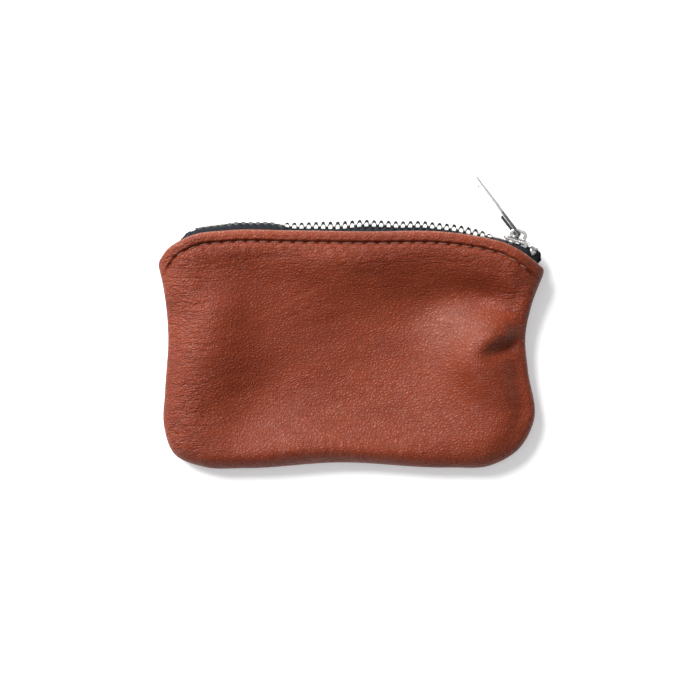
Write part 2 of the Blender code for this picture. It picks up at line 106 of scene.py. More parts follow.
# --- slider and pull, as in the frame ---
SLIDER_TILT, SLIDER_ROLL = math.radians(3), math.radians(9)
PLATE, PLATE_INNER = 0.8, 1.25          # a plate's thickness, and half the gap between them
BRIDGE_INSIDE, BRIDGE_OPENING, BRIDGE_WALL = 1.6, 2.0, 0.75     # half width, height, metal
PULL_HEADING = math.radians(127)
PULL_DIP, PULL_TWIST = math.radians(9), math.radians(14)
PULL_LENGTH, PULL_THICK = 22.4, 1.0
PULL_NEAR, PULL_FAR = 1.8, 2.35         # half widths at the window and at the tip
PULL_TIP = 1.6                          # length of the rounded tip
PULL_BAR = 0.45
WINDOW_END, WINDOW_HALF = 7.6, 1.3
HOLE_AT, HOLE_RADIUS = 18.6, 0.9


# --- small maths ---
def ease(t):
    """A smooth step from 0 at t = 0 to 1 at t = 1."""
    t = np.clip(t, 0.0, 1.0)
    return t * t * (3 - 2 * t)


def steps(x, knots):
    """A value that eases from each (place, value) knot to the next."""
    places, values = np.array(knots, float).T
    i = np.clip(np.searchsorted(places, x) - 1, 0, len(places) - 2)
    share = ease((x - places[i]) / (places[i + 1] - places[i]))
    return values[i] + (values[i + 1] - values[i]) * share


def bell(x, width):
    """1 at zero, falling smoothly to about a third at width."""
    return np.exp(-((x / width) ** 2))


def noise(u, v, seed):
    """Smooth noise from -1 to 1, with features about one unit across."""
    table = np.random.default_rng(seed).uniform(-1.0, 1.0, (64, 64))
    i, j = np.floor(u).astype(int), np.floor(v).astype(int)
    s, t = ease(u - i), ease(v - j)
    near = table[i % 64, j % 64] * (1 - s) + table[(i + 1) % 64, j % 64] * s
    far = table[i % 64, (j + 1) % 64] * (1 - s) + table[(i + 1) % 64, (j + 1) % 64] * s
    return near * (1 - t) + far * t


def turned(x, y, degrees, along, across):
    """Plan coordinates turned and stretched, for noise or folds that run one way."""
    turn = math.radians(degrees)
    return (
        (x * math.cos(turn) + y * math.sin(turn)) / along,
        (-x * math.sin(turn) + y * math.cos(turn)) / across,
    )


def folds(x, y, degrees, along, across, seed):
    """Soft rolls with sharp valleys between them, from 0 in a valley to about 1."""
    u, v = turned(x, y, degrees, along, across)
    wander = noise(u * 0.6, v * 0.35, seed + 50)
    return np.sqrt(noise(u + 7.3, v + 1.4 * wander, seed) ** 2 + 0.004)


# --- plane curves ---
def smooth_path(knots, step):
    """A smooth curve through the knots, as points about a step apart."""
    knots = np.array(knots, float)
    chords = np.diff(knots, axis=0)
    gaps = np.linalg.norm(chords, axis=1)[:, None]
    runs = chords / gaps
    inner = (runs[:-1] * gaps[1:] + runs[1:] * gaps[:-1]) / (gaps[:-1] + gaps[1:])
    slopes = np.vstack([runs[:1], inner, runs[-1:]])
    path = [knots[:1]]
    for i, gap in enumerate(gaps[:, 0]):
        t = np.linspace(0.0, 1.0, max(2, round(gap / step)) + 1)[1:, None]
        near = (2 * t**3 - 3 * t**2 + 1) * knots[i] + (t**3 - 2 * t**2 + t) * gap * slopes[i]
        far = (3 * t**2 - 2 * t**3) * knots[i + 1] + (t**3 - t**2) * gap * slopes[i + 1]
        path.append(near + far)
    return np.vstack(path)


def lengths(path):
    """How far along the path each of its points is."""
    return np.concatenate([[0.0], np.cumsum(np.linalg.norm(np.diff(path, axis=0), axis=1))])


def along_path(path, runs):
    """Points at the given distances along a path."""
    total = lengths(path)
    return np.column_stack([np.interp(runs, total, path[:, k]) for k in range(path.shape[1])])


def unit(vectors):
    return vectors / np.linalg.norm(vectors, axis=1)[:, None]


def headings(path):
    return unit(np.gradient(path, axis=0))


def left_of(ways):
    return np.column_stack([-ways[:, 1], ways[:, 0]])


def nearest(x, y, path):
    """How far points are from a path, and how far along it the nearest place is."""
    points = np.column_stack([x, y])
    best, place = np.full(len(points), np.inf), np.zeros(len(points))
    for start, step, before in zip(path[:-1], np.diff(path, axis=0), lengths(path)):
        size = math.hypot(*step)
        share = np.clip((points - start) @ step / size**2, 0.0, 1.0)
        gap = np.linalg.norm(points - start - share[:, None] * step, axis=1)
        closer = gap < best
        best[closer] = gap[closer]
        place[closer] = before + share[closer] * size
    return best, place


MOUTH_PATH = smooth_path(MOUTH_EDGE, 1.0)
SEAM_PATH = smooth_path(SEAM_EDGE, 1.0)
INTO_POUCH = -left_of(headings(MOUTH_PATH))
LIP_PATH = MOUTH_PATH + INTO_POUCH * steps(MOUTH_PATH[:, 0], LIP_SLACK)[:, None]


# --- leather surfaces ---
# Each entry is centre x, centre y, half length, half width, heading in degrees, height.
FRONT_FORMS = [
    (-5.5, -33.6, 60.0, 9.6, 11, 3.0),      # the full bottom edge
    (0.5, -11.0, 46.5, 15.6, 12, -4.2),     # the sunk middle, and its upper part
    (-7.0, 8.0, 31.5, 11.4, -2, -2.8),
    (-7.5, 20.0, 52.0, 4.5, 4, -0.4),
    (-40.5, 7.5, 27.0, 9.6, 80, 2.9),       # the upright ridge at the left and its hollow
    (-25.0, -7.0, 25.0, 11.3, 67, -1.8),
    (-13.0, 14.0, 23.5, 11.3, 51, 1.7),
    (-23.0, -27.0, 17.0, 5.2, 17, 0.3),
    (18.5, -26.0, 24.0, 8.5, 2, -3.1),
    (40.0, 0.8, 10.6, 7.3, 25, 6.1),        # the bulge, and the deep crease that ends it
    (43.3, -0.6, 5.8, 4.0, 15, -2.2),
    (46.5, 0.5, 7.0, 2.0, 19, -1.8),
    (24.0, 12.0, 12.0, 6.5, 30, -1.8),
    (40.0, -10.0, 10.2, 6.4, -22, 3.0),
    (57.5, -13.0, 26.0, 9.0, 83, -3.9),     # the low right side
    (40.5, 15.0, 10.6, 5.1, -10, -2.6),
    (18.0, 16.0, 13.6, 7.0, 25, -1.2),
    (-36.5, 23.5, 12.0, 7.1, 8, -2.2),
]


def rounding(distance, radius):
    """A quarter round, from 0 at the edge to 1 a radius inside it."""
    return np.sqrt(1 - (1 - np.minimum(distance / radius, 1.0)) ** 2)


def corner_slack(x, y):
    """1 at the two ends of the mouth, where the panels part only slowly."""
    left = np.hypot(x - MOUTH_LEFT[0], y - MOUTH_LEFT[1])
    right = np.hypot(x - MOUTH_RIGHT[0], y - MOUTH_RIGHT[1])
    return np.maximum(bell(left, 9.0), bell(right, 7.0))


def seam_height(y):
    return SEAM_LOW + (SEAM_HIGH - SEAM_LOW) * ease((y - SEAM_FROM) / SEAM_OVER)


def hem_relief(gap, run):
    """The turned edge: a soft roll, a groove at the stitches and small gathers below it."""
    gathers = 1 + 0.45 * noise(run / 2.6, run * 0, 11)
    roll = steps(gap, [
        (-9, -0.35), (0.4, -0.35), (1.4, 0.32), (2.6, 0.30), (3.5, -0.74), (4.0, -0.10),
        (4.9, 0.08), (9.0, 0.0), (200, 0.0),
    ])
    beat = np.cos(2 * np.pi * (run - STITCH_START) / STITCH_PITCH)
    roll = roll - 0.20 * beat * bell(gap - 3.45, 0.6) * gathers
    roll = roll + 0.06 * beat * bell(gap - 4.7, 0.8) * gathers
    roll = roll + 0.05 * beat * bell(gap - 2.0, 1.2)
    lean = np.cos(2 * np.pi * (run - 0.35 * (gap - 4)) / STITCH_PITCH * 0.97)
    return roll + 0.05 * lean * gathers * ease((gap - 3.8) / 1.2) * bell(gap - 4.6, 3.2)


def front_relief(x, y, seam_gap, seam_run, mouth_gap):
    """How the front stands above or below its plain domed shape."""
    relief = np.zeros_like(x)
    for cx, cy, half_long, half_wide, heading, height in FRONT_FORMS:
        u, v = turned(x - cx, y - cy, heading, half_long, half_wide)
        relief = relief + height * np.exp(-(u**2) - v**2)
    relief = relief + 0.12 * noise(x / 13 + 3, y / 11, 3)
    broad = folds(x, y, 17, 19.0, 6.0, 21)
    fine = folds(x, y, 22, 8.0, 2.3, 22)
    steep = folds(x, y, -38, 7.0, 2.6, 23)
    where = ease(0.5 + noise(x / 16, y / 12, 24))
    relief = relief + 0.10 * broad + 0.08 * fine * where + 0.07 * steep * (1 - where)
    gathers = folds(seam_run, seam_gap, 0, 2.6, 9.0, 31)
    relief = relief + 0.30 * (gathers - 0.4) * bell(seam_gap - 1.5, 4.5)
    return relief * ease(seam_gap / 6.0) * ease((mouth_gap - 3.6) / 5.0)


def front_height(x, y):
    """The top face of the front panel, over the table."""
    seam_gap, seam_run = nearest(x, y, SEAM_PATH)
    mouth_gap, mouth_run = nearest(x, y, LIP_PATH)
    low = seam_height(y) + EDGE_LIFT
    crown = steps(y + (LIP_LEVEL - mouth_gap - y) * ease(y / 20), CROWN)
    radius = FRONT_ROUND * (1 + 0.9 * corner_slack(x, y))
    shape = low + (crown - low) * rounding(seam_gap, radius)
    shape = shape + front_relief(x, y, seam_gap, seam_run, mouth_gap)
    flatter = 0.62 + 0.38 * ease(seam_gap / 15)
    return shape + hem_relief(mouth_gap, mouth_run) * ease(seam_gap / 2.4) * flatter


def back_height(x, y):
    """The underside: flat on the table but for soft creases, and lifted at the mouth."""
    seam_gap, seam_run = nearest(x, y, SEAM_PATH)
    mouth_gap, mouth_run = nearest(x, y, MOUTH_PATH)
    high = seam_height(y) - EDGE_LIFT
    rest = 0.03 + BACK_LIFT * ease((y - LIFT_FROM) / LIFT_OVER)
    rest = rest + 0.3 * (1 - folds(x, y, 14, 17.0, 7.0, 41)) * ease(seam_gap / 12.0)
    gathers = folds(seam_run, seam_gap, 0, 3.1, 8.0, 43)
    rest = rest + 0.25 * (1 - gathers) * bell(seam_gap - 3.0, 3.0)
    radius = BACK_ROUND * (1 + 1.4 * corner_slack(x, y))
    shape = high + (rest - high) * rounding(seam_gap, radius)
    return shape - 0.8 * hem_relief(mouth_gap, mouth_run) * ease(seam_gap / 6.0)


def surface_normals(height, x, y):
    step = 0.05
    slope_x = (height(x + step, y) - height(x - step, y)) / (2 * step)
    slope_y = (height(x, y + step) - height(x, y - step)) / (2 * step)
    return unit(np.column_stack([-slope_x, -slope_y, np.ones_like(x)]))


# --- mesh making ---
def put_in_scene(name, data):
    obj = bpy.data.objects.new(name, data)
    bpy.context.scene.collection.objects.link(obj)
    return obj


def add_object(name, mesh, material):
    mesh.materials.append(material)
    mesh.shade_smooth()
    return put_in_scene(name, mesh)


def baked(obj):
    """The mesh that an object's curve or modifiers make; the object itself is removed."""
    bpy.context.view_layer.update()
    evaluated = obj.evaluated_get(bpy.context.evaluated_depsgraph_get())
    mesh = bpy.data.meshes.new_from_object(evaluated)
    bpy.data.objects.remove(obj, do_unlink=True)
    return mesh


def drained(bm):
    """A bmesh's vertices and its faces, sorted, as it may list new ones in any order."""
    bm.verts.index_update()
    vertices = np.array([v.co[:] for v in bm.verts])
    faces = sorted(tuple(v.index for v in face.verts) for face in bm.faces)
    bm.free()
    return vertices, faces


def mirrored(points, across_x=False):
    """The same points backwards on the other side of the X axis, or of the Y axis."""
    return [(-x, y) if across_x else (x, -y) for x, y in reversed(points)]


def keep_value(mesh, name, values):
    attribute = mesh.attributes.new(name, "FLOAT", "POINT")
    attribute.data.foreach_set("value", np.asarray(values, np.float32))


def keep_vector(mesh, name, vectors):
    attribute = mesh.attributes.new(name, "FLOAT_VECTOR", "POINT")
    attribute.data.foreach_set("vector", np.asarray(vectors, np.float32).ravel())


def read_vectors(items, key):
    flat = np.zeros(len(items) * 3, np.float32)
    items.foreach_get(key, flat)
    return flat.reshape(-1, 3)


def keep_rest(mesh):
    """Store the resting place in mm, which the materials use as their coordinates."""
    keep_vector(mesh, "rest", read_vectors(mesh.vertices, "co") / MM)


def keep_painted_side_shade(mesh):
    """Painted shade: colour darkened on faces that look sideways, where the plating would reflect
    the dark studio walls.
    """
    level = np.abs(read_vectors(mesh.vertex_normals, "vector")[:, 2])
    keep_value(mesh, "painted_shade", 0.95 * ease((0.80 - level) / 0.4))


def mesh_from(name, vertices, faces):
    mesh = bpy.data.meshes.new(name)
    mesh.from_pydata((np.asarray(vertices, float) * MM).tolist(), [], faces)
    mesh.update()
    keep_rest(mesh)
    return mesh


def join_rings(outer, inner, flip):
    """Faces between two closed rings of indices; the inner may have half as many."""
    faces, count = [], len(outer)
    if len(inner) == count:
        for i in range(count):
            j = (i + 1) % count
            faces.append((outer[i], outer[j], inner[j], inner[i]))
    else:
        for k in range(len(inner)):
            a, b, c = outer[2 * k], outer[2 * k + 1], outer[(2 * k + 2) % count]
            p, q = inner[k], inner[(k + 1) % len(inner)]
            faces += [(a, b, p), (b, q, p), (b, c, q)]
    return [face[::-1] for face in faces] if flip else faces


SEAM_SAMPLES, MOUTH_SAMPLES = 460, 372     # their sum divides by 16
OUTER_INSETS = [        # rings of the outer face, from its edge inwards: fine at the stitches
    0.0, 0.12, 0.3, 0.55, 0.85, 1.15, 1.45, 1.75, 2.05, 2.35, 2.6, 2.8, 2.95, 3.1, 3.25,
    3.4, 3.55, 3.7, 3.85, 4.0, 4.2, 4.45, 4.7, 5.0, 5.3, 5.65, 6.0,
    *np.arange(6.4, 12.6, 0.45),
]
LINING_INSETS = [0.45, 1.1, 1.9, 2.8, 3.6, 4.3, 4.7, 5.1, 6.2, 8.0, 10.0, 12.5]


def panel_plan(mouth_path):
    """The outline, its outward directions, and how open its edge is at each place."""
    seam = along_path(SEAM_PATH, np.linspace(0, lengths(SEAM_PATH)[-1], SEAM_SAMPLES + 1))
    mouth = along_path(mouth_path, np.linspace(0, lengths(mouth_path)[-1], MOUTH_SAMPLES + 1))
    outline = np.vstack([seam[:-1], mouth[::-1][:-1]])
    corner = sum(bell(np.linalg.norm(outline - end, axis=1), 1.1) for end in (seam[0], seam[-1]))
    for _ in range(9):
        between = (np.roll(outline, 1, axis=0) + np.roll(outline, -1, axis=0)) / 2
        outline = outline + (between - outline) * corner[:, None]
    around = np.vstack([outline[-1:], outline, outline[:1]])
    outwards = -left_of(unit(around[2:] - around[:-2]))
    seam_gap, _ = nearest(outline[:, 0], outline[:, 1], SEAM_PATH)
    openness = ease(seam_gap / 3.0)
    return outline, outwards, openness


def keep_wear_and_painted_light(mesh, places, inside, mouth_path):
    """Store where the leather is wrinkled; where it is pale, from wear at the mouth's rim with a
    painted highlight there and painted highlights on the bulge and lower band; and where it is dark
    with painted shade in the stitches' groove.
    """
    x, y = places[:, 0], places[:, 1]
    mouth_gap, mouth_run = nearest(x, y, mouth_path)
    seam_gap, _ = nearest(x, y, SEAM_PATH)
    beat = 0.5 - 0.5 * np.cos(2 * np.pi * (mouth_run - STITCH_START) / STITCH_PITCH)
    # painted shade in the stitches' groove, darkest at the stitch holes
    groove = bell(mouth_gap - STITCH_LINE, 0.34) * (0.45 + 0.55 * (1 - beat))
    sides = np.maximum(bell(x + 51, 11), bell(x - 48, 8) * bell(y - 10, 16))
    bulge = bell(x - 29, 9.5) * bell(y - 6.5, 6)
    crackled = np.maximum(bulge, 0.7 * bell(x + 12, 34) * bell(y + 22, 7))
    loose = np.maximum(np.maximum(sides, 0.6 * bell(mouth_gap - 7, 6)), 0.6 * crackled)
    # pale mark: wear and a painted highlight along the rim, painted highlights on the bulge and the
    # lower band
    rim = bell(mouth_gap, 0.55) * ease(seam_gap / 1.5)
    wear_and_highlight = np.maximum(rim, 0.34 * bulge + 0.10 * crackled)
    keep_value(mesh, "wrinkled", 0.16 + 0.84 * loose)
    keep_value(mesh, "inside", inside)
    keep_value(mesh, "groove", groove * (1 - inside) * ease(seam_gap / 2.0))
    keep_value(mesh, "wear_and_highlight", wear_and_highlight * (1 - 0.6 * inside))


def make_panel(name, height, mouth_path, side, material, ring_step):
    """A leather panel as one closed skin: its outer face, rounded edge and inner face."""
    outline, outwards, openness = panel_plan(mouth_path)
    radius = (LEATHER + HEM_GROWTH * openness) / 2
    first = np.pi / 2 * openness
    last = first - np.pi
    edge = outline - outwards * (radius * (1 - np.cos(first)))[:, None]
    inwards = -unit(outline)
    vertices, faces, inside = [], [], []

    def add_ring(points, is_inside):
        start = len(vertices)
        vertices.extend(points.tolist())
        inside.extend([is_inside] * len(points))
        return list(range(start, start + len(points)))

    def close_ring(ring, z, is_inside):
        """A fan of triangles from the innermost ring to the middle of the panel."""
        middle = add_ring(np.array([[0.0, 0.0, z]]), is_inside)[0]
        for here, after in zip(ring, ring[1:] + ring[:1]):
            face = (here, after, middle)
            faces.append(face if (side > 0) != (is_inside > 0) else face[::-1])

    def plan_rings(insets):
        """Plan rings from the edge inwards, then shrinking to the middle with fewer points."""
        deepest = outline + inwards * insets[-1]
        rings = [edge + inwards * depth for depth in insets]
        reach = np.linalg.norm(deepest, axis=1).mean()
        scales = np.arange(1.0, 0.0, -ring_step / reach)[1:-1]
        count = len(outline)
        for scale in scales:
            while count * 0.36 > 2 * np.pi * reach * scale / 0.42 and count % 2 == 0:
                count //= 2
            jump = len(outline) // count
            rings.append((rings[len(insets) - 1] * scale)[::jump])
        return rings

    outer = [
        add_ring(np.column_stack([ring, height(ring[:, 0], ring[:, 1])]), 0.0)
        for ring in plan_rings(OUTER_INSETS)
    ]
    for big, small in zip(outer, outer[1:]):
        faces += join_rings(big, small, side < 0)
    middle_z = height(np.zeros(1), np.zeros(1))[0]
    close_ring(outer[-1], middle_z, 0.0)

    top = height(edge[:, 0], edge[:, 1])
    core = outline - outwards * radius[:, None]
    core_z = top - side * radius * np.sin(first)
    arcs = []
    for share in (0.16, 0.33, 0.5, 0.67, 0.84, 1.0):
        angle = first + (last - first) * share
        place = core + outwards * (radius * np.cos(angle))[:, None]
        z = core_z + side * radius * np.sin(angle)
        arcs.append(add_ring(np.column_stack([place, z]), 0.0 if share < 0.7 else 1.0))
    previous = outer[0]
    for arc in arcs:
        faces += join_rings(arc, previous, side < 0)
        previous = arc

    for ring in plan_rings(LINING_INSETS):
        x, y = ring[:, 0], ring[:, 1]
        seam_gap, _ = nearest(x, y, SEAM_PATH)
        mouth_gap, _ = nearest(x, y, mouth_path)
        doubled = ease(seam_gap / 3.0) * (1 - ease((mouth_gap - HEM_END) / 0.5))
        thick = LEATHER + HEM_GROWTH * doubled
        place = np.column_stack([x, y, height(x, y)])
        place -= side * surface_normals(height, x, y) * thick[:, None]
        lining = add_ring(place, 1.0)
        faces += join_rings(previous, lining, side > 0)
        previous = lining
    close_ring(previous, middle_z - side * LEATHER, 1.0)

    mesh = mesh_from(name, vertices, faces)
    keep_wear_and_painted_light(mesh, np.array(vertices), np.array(inside), mouth_path)
    return add_object(name, mesh, material)


YARN_SIDES, YARN_LOBES, YARN_TWIST = 10, 0.16, 3.6
STITCH_POINTS = 15


def yarn_tube(points, radii):
    """Vertices and faces of one length of two-ply yarn, closed at both ends."""
    points = np.asarray(points, float)
    ways = headings(points)
    runs = lengths(points)
    side = np.cross(ways[0], (0.0, 0.0, 1.0))
    side /= np.linalg.norm(side)
    vertices, faces = [], []
    sides = YARN_SIDES
    angles = np.arange(sides) * 2 * np.pi / sides
    for point, way, run, radius in zip(points, ways, runs, radii):
        side = side - way * (side @ way)
        side /= np.linalg.norm(side)
        up = np.cross(side, way)
        size = radius * (1 + YARN_LOBES * np.cos(2 * (angles - YARN_TWIST * run)))
        ring = np.cos(angles)[:, None] * side + np.sin(angles)[:, None] * up
        vertices.extend((point + ring * size[:, None]).tolist())
    for k in range(len(points) - 1):
        for i in range(sides):
            j = (i + 1) % sides
            a, b = k * sides, (k + 1) * sides
            faces.append((a + i, b + i, b + j, a + j))
    faces.append(tuple(range(sides)))
    faces.append(tuple(range((len(points) - 1) * sides, len(points) * sides))[::-1])
    return vertices, faces


def merged(parts):
    """Several (vertices, faces) pairs as one."""
    vertices, faces = [], []
    for more, loops in parts:
        start = len(vertices)
        vertices.extend(more)
        faces.extend(tuple(i + start for i in loop) for loop in loops)
    return vertices, faces


# --- thread ---
def make_stitches(name, line, heights, side, depth, pitch, length, radius, material):
    """Separate stitches along a plan line; each end dives into the leather."""
    total = lengths(line)[-1]
    parts = []
    rng = np.random.default_rng(5)
    for middle in np.arange(STITCH_START + pitch / 2, total - pitch * 0.4, pitch):
        runs = middle + np.linspace(-0.5, 0.5, STITCH_POINTS) * length * rng.uniform(0.94, 1.04)
        plan = along_path(line, runs)
        share = np.linspace(-1.0, 1.0, STITCH_POINTS)
        lift = radius * 0.55 - depth * np.abs(share) ** 5
        z = heights(plan[:, 0], plan[:, 1]).mean() + side * lift
        plan = plan + left_of(headings(plan)) * (0.10 * share)[:, None]
        radii = radius * (1 - 0.45 * np.abs(share) ** 4)
        parts.append(yarn_tube(np.column_stack([plan, z]), radii))
    return add_object(name, mesh_from(name, *merged(parts)), material)


def make_topstitch(name, height, mouth_path, side, material):
    line = (mouth_path + INTO_POUCH * STITCH_LINE)[3:-3]
    return make_stitches(name, line, height, side, 0.75, STITCH_PITCH, 2.95, 0.25, material)


def make_seam_thread(name, material):
    """Short stitches just inside the side and bottom seam, gripping both panels."""
    line = (SEAM_PATH + left_of(headings(SEAM_PATH)) * 1.7)[3:-3]
    return make_stitches(
        name, line, lambda x, y: seam_height(y), 1, 0.1, 3.0, 2.5, 0.22, material)


# --- zip ---
CHORD = np.subtract(SLIDER_CLOSED, SLIDER_OPEN)
ZIP_RADIUS = (CHORD @ CHORD / 4 + ZIP_RISE**2) / (2 * ZIP_RISE)
ZIP_TURN = 2 * math.asin(math.hypot(*CHORD) / 2 / ZIP_RADIUS)
OPEN_HEADING = math.atan2(CHORD[1], CHORD[0]) + ZIP_TURN / 2
ZIP_LENGTH = ZIP_RADIUS * ZIP_TURN
CHAIN_SET = [           # the chain's soft waves: along, out of its arc
    (-14, -0.3), (-5, 0.0), (4, 0.0), (15, -0.8), (26, -2.0), (36, -1.9), (47, -0.8),
    (53, -0.6), (64, 0.45), (73, 0.8), (79, 0.6), (85, 0.4), (90, 0.0), (104, 0.0),
]
CHAIN_TWIST = [         # along, degrees that its outer face leans towards the front
    (-14, 0), (-5, 9), (4, 9), (9, -6), (17, -4), (24, 26), (36, 32), (50, 28), (64, 28),
    (78, 30), (86, 9), (94, 9), (98, 26), (104, 22),
]


def follow(x, y, heading, turn_rate, distance):
    """Where a walk along an arc ends, and its heading there."""
    if abs(turn_rate) < 1e-9:
        return x + math.cos(heading) * distance, y + math.sin(heading) * distance, heading
    ahead = heading + turn_rate * distance
    dx = (math.sin(ahead) - math.sin(heading)) / turn_rate
    dy = (math.cos(heading) - math.cos(ahead)) / turn_rate
    return x + dx, y + dy, ahead


def zip_at(s):
    """Point and heading on the zip's middle line, s from the slider's open place."""
    low, high = -SLIDER_REACH, ZIP_LENGTH + SLIDER_REACH
    place = follow(*SLIDER_OPEN, OPEN_HEADING, -1 / ZIP_RADIUS, min(max(s, low), high))
    if low <= s <= high:
        return place
    radius = LEFT_SHOULDER if s < low else RIGHT_SHOULDER
    past = s - low if s < low else s - high
    limit = radius * (SHOULDER_SLOPE - abs(place[2]))
    bend = max(-limit, min(limit, past))
    return follow(*follow(*place, -1 / radius, bend), 0.0, past - bend)


def shoulder_length(radius, s):
    return SLIDER_REACH + radius * (SHOULDER_SLOPE - abs(zip_at(s)[2]))


ZIP_START = -shoulder_length(LEFT_SHOULDER, 0.0) - LEFT_TAIL
ZIP_END = ZIP_LENGTH + shoulder_length(RIGHT_SHOULDER, ZIP_LENGTH) + RIGHT_TAIL
ZIP_RUNS = np.arange(ZIP_START - 5.0, ZIP_END + 3.0, 0.1)
ZIP_TABLE = np.array([zip_at(s) for s in ZIP_RUNS])


def off_zip(s, out, up):
    """Places beside the zip's middle line, this far out of the mouth and over the table."""
    x, y, heading = (np.interp(s, ZIP_RUNS, ZIP_TABLE[:, k]) for k in range(3))
    return np.column_stack([x - np.sin(heading) * out, y + np.cos(heading) * out, up])


def on_chain(s, out, across):
    """Places on the chain, drawn as (along, out of the mouth, across), with its waves."""
    lean = np.radians(steps(s, CHAIN_TWIST))
    up = ZIP_MIDDLE + out * np.sin(lean) + across * np.cos(lean)
    return off_zip(s, out * np.cos(lean) - across * np.sin(lean) + steps(s, CHAIN_SET), up)


def make_tape(name, side, material):
    """Woven tape: off the corded edge, round a bend and down inside the hem."""
    rows = np.arange(ZIP_START - TAPE_START, ZIP_END + TAPE_END, 0.3)
    corded = [          # on the chain: out, across
        (0.0, 1.25), (0.34, 1.38), (0.5, 1.75), (0.36, 2.15), (0.22, 2.42), (0.18, 2.62),
    ]
    bent = [(-0.02, 2.85), (0.2, 3.08), (0.65, 3.22)]       # below it: drop, across
    hung = (0.1, 0.22, 0.4, 0.6, 0.8, 1.0)                  # shares of the hanging depth
    from_end = np.minimum(rows[-1] - rows, rows - rows[0])
    fade = ease(from_end / 3.0)
    tuck = 0.35 + 0.65 * ease(from_end / 8.0)
    lean = np.sin(np.radians(steps(rows, CHAIN_TWIST)))
    shift = steps(rows, CHAIN_SET)
    sink = 1.3 * (1 - ease(from_end / 2.0))
    between_teeth = rows + ROW_OVERRUN - ROW_INSET - TOOTH_PITCH * (0.5 if side > 0 else 0)
    beat = np.cos(2 * np.pi * between_teeth / TOOTH_PITCH)
    beat = beat * ease((np.abs(rows) - 3.0) / 3) * ease((ZIP_LENGTH - 3.5 - rows) / 3)
    swell = 1 + 0.2 * beat
    left = np.minimum(rows - ZIP_START + TAPE_START, ZIP_END + TAPE_END - rows)
    depth = 3.4 + 5.6 * ease((left - 1.0) / 16.0)       # the hem hides less at the corners

    def hanging(drop, half):
        held = 1 - ease(drop / 4.0)
        out = shift - drop - side * 2.65 * lean * held + 0.42 * beat * bell(drop, 0.7) - sink
        up = ZIP_MIDDLE + side * (half - 0.5 * ease((drop - 4.0) / 4.0)) * tuck
        return off_zip(rows, out, up)

    def face(sign):
        """Stations down one face of the tape, from its corded edge to its free edge."""
        down = []
        for out, across in corded:
            out = sign * out * (0.6 + 0.4 * fade) * swell
            out = out + 0.3 * beat * ease((across - 1.8) / 0.7) - sink
            down.append(on_chain(rows, out, side * across * tuck))
        for drop, half in bent:
            down.append(hanging(drop - sign * TAPE_THICK, half + sign * TAPE_THICK * 0.6))
        for share in hung:
            drop = TAPE_TURN + (depth - TAPE_TURN) * share
            down.append(hanging(drop, TAPE_HALF + sign * TAPE_THICK))
        return down

    stations = face(1) + face(-1)[:0:-1]
    count, width = len(rows), len(stations)
    grid = np.array(stations).transpose(1, 0, 2)
    faces = []
    for i in range(count - 1):
        for j in range(width):
            k = (j + 1) % width
            faces.append((i * width + j, i * width + k, (i + 1) * width + k, (i + 1) * width + j))
    faces.append(tuple(range(width))[::-1])
    faces.append(tuple(range((count - 1) * width, count * width)))
    if side < 0:
        faces = [face[::-1] for face in faces]
    mesh = mesh_from(name, grid.reshape(-1, 3), faces)
    turn = np.concatenate([[0], np.cumsum(np.linalg.norm(np.diff(grid, axis=1), axis=2).mean(0))])
    weave = np.zeros((count, width, 3))
    weave[:, :, 0] = rows[:, None]
    weave[:, :, 1] = turn[None, :]
    keep_vector(mesh, "weave", weave)
    return add_object(name, mesh, material)


def tooth_shape():
    """One stamped tooth, along, out and across, its head pointing to the other row."""
    bm = bmesh.new()
    outline = [
        (-0.60, 2.36), (-0.64, 1.7), (-0.62, 1.0), (-0.56, 0.62), (-0.46, 0.25), (-0.44, -0.1),
        (-0.44, -0.55), (-0.26, -0.86),
    ]
    outline += mirrored(outline, across_x=True)
    levels = ((-0.92, 0.86), (-0.74, 1.0), (0.74, 1.0), (0.92, 0.86))
    rings = []
    for out, size in levels:
        ring = []
        for along, across in outline:
            slim = 1.0 - 0.30 * float(ease((0.7 - across) / 0.9))
            ring.append(bm.verts.new((along * size, out * slim, across * (0.5 + 0.5 * size))))
        rings.append(ring)
    for low, high in zip(rings, rings[1:]):
        for i in range(len(outline)):
            j = (i + 1) % len(outline)
            bm.faces.new((low[i], low[j], high[j], high[i]))
    bm.faces.new(rings[0][::-1])
    bm.faces.new(rings[-1])
    bmesh.ops.recalc_face_normals(bm, faces=bm.faces)
    bmesh.ops.bevel(
        bm, geom=[e for e in bm.edges if e.calc_face_angle(0.0) > 0.6], offset=0.07,
        segments=2, affect="EDGES",
    )
    bmesh.ops.recalc_face_normals(bm, faces=bm.faces)
    return drained(bm)


def make_teeth(name, side, shift, material):
    shape, loops = tooth_shape()
    rng = np.random.default_rng(17 + side)
    loops = loops if side > 0 else [loop[::-1] for loop in loops]
    parts = []
    first = -ROW_OVERRUN + ROW_INSET + shift * TOOTH_PITCH
    for s in np.arange(first, ZIP_LENGTH + LAST_TOOTH, TOOTH_PITCH):
        yaw, grow = rng.normal(0, 0.02), rng.normal(1, 0.012)
        along = shape[:, 0] * grow + shape[:, 2] * yaw
        places = on_chain(s + along, shape[:, 1] * grow, side * shape[:, 2])
        parts.append((places.tolist(), loops))
    mesh = mesh_from(name, *merged(parts))
    # Painted shade: each tooth's head, where the rows interlock, and its flanks are stored dark.
    head = 1 - ease((shape[:, 2] + 0.5) / 0.5)
    along, out = np.abs(shape[:, 0]), np.abs(shape[:, 1])
    flank = ease((along - 0.42) / 0.14) * (1 - ease((out - 0.8) / 0.1))
    keep_value(mesh, "painted_shade", np.tile(np.maximum(head, flank), len(parts)))
    obj = add_object(name, mesh, material)
    obj.data.set_sharp_from_angle(angle=math.radians(40))
    return obj


